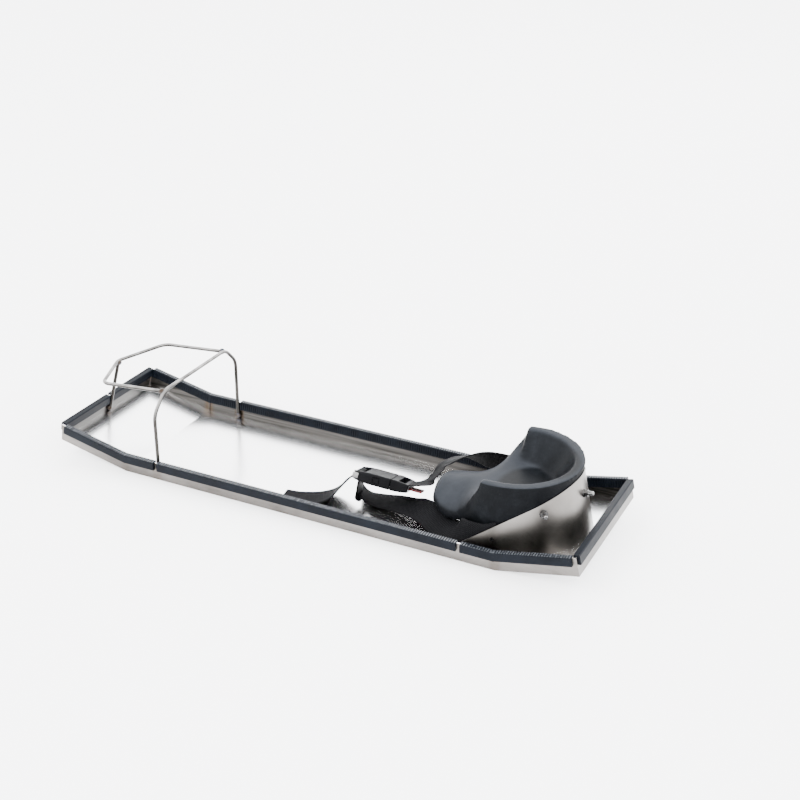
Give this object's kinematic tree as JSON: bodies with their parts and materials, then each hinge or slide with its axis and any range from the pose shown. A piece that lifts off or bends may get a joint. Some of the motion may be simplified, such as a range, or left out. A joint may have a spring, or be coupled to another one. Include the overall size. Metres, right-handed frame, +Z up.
{
  "type": "kneeling board",
  "caption": "Shallow stainless tray with bent-up ends, ribbed edge trim, wire foot hoop, bolted steel cup with a moulded knee pad and a webbing strap with a side-release buckle.",
  "frame": {"origin": "under the middle of the board, on the surface that it slides on", "axes": "+X along the board towards the knee end, +Y to the left side, +Z up"},
  "size_m": [0.7084, 0.2022, 0.1142],
  "materials": {
    "stainless_sheet": "brushed satin stainless sheet",
    "edge_trim": "finely ribbed edge trim",
    "steel_wire": "bright stainless wire",
    "weld": "heat tinted weld bead",
    "pad_rubber": "semi-matte moulded rubber, dusty",
    "webbing": "ribbed woven webbing",
    "buckle_plastic": "moulded plastic",
    "tab_fabric": "woven tape",
    "zinc_fastener": "zinc plated steel"
  },
  "bodies": {
    "root": {"band_bolts": "zinc_fastener", "band_nuts": "zinc_fastener", "band_washers": "zinc_fastener", "band_welds": "weld", "base_tray": "stainless_sheet", "buckle_female": "buckle_plastic", "corner_welds": "weld", "edge_trim_front_end": "edge_trim", "edge_trim_left_front": "edge_trim", "edge_trim_left_middle": "edge_trim", "edge_trim_left_rear": "edge_trim", "edge_trim_rear_end_left": "edge_trim", "edge_trim_rear_end_right": "edge_trim", "edge_trim_right_front": "edge_trim", "edge_trim_right_middle": "edge_trim", "edge_trim_right_rear": "edge_trim", "hoop_centre_leg": "steel_wire", "hoop_cross_bow": "steel_wire", "hoop_front_loop": "steel_wire", "hoop_welds": "weld", "knee_cup_band": "stainless_sheet", "knee_pad": "pad_rubber", "strap_left": "webbing", "strap_right": "webbing", "strap_rivets": "zinc_fastener", "strap_slide_bar": "zinc_fastener"},
    "male": {"buckle_male": "buckle_plastic", "pull_tab": "tab_fabric"},
    "prong_right": {"buckle_prong_right": "buckle_plastic"},
    "prong_left": {"buckle_prong_left": "buckle_plastic"}
  },
  "joints": [
    {"name": "buckle_release", "type": "slide", "parent": "root", "child": "male", "axis": [0.9752, 0.172, -0.1392], "range_m": [0, 0.024], "deforming": ["strap_left", "buckle_prong_right", "buckle_prong_left"]},
    {"name": "prong_right_flex", "type": "hinge", "parent": "male", "child": "prong_right", "pos_m": [0.09249, -0.03333, 0.03821], "axis": [0.062, 0.3913, 0.9182], "range_deg": [-9, 0], "stiffness_Nm_per_rad": 0.3},
    {"name": "prong_left_flex", "type": "hinge", "parent": "male", "child": "prong_left", "pos_m": [0.0857, -0.0044, 0.02634], "axis": [0.062, 0.3913, 0.9182], "range_deg": [0, 9], "stiffness_Nm_per_rad": 0.3}
  ],
  "couplings": [
    {"joint": "prong_left_flex", "follows": "prong_right_flex", "ratio": -1}
  ]
}
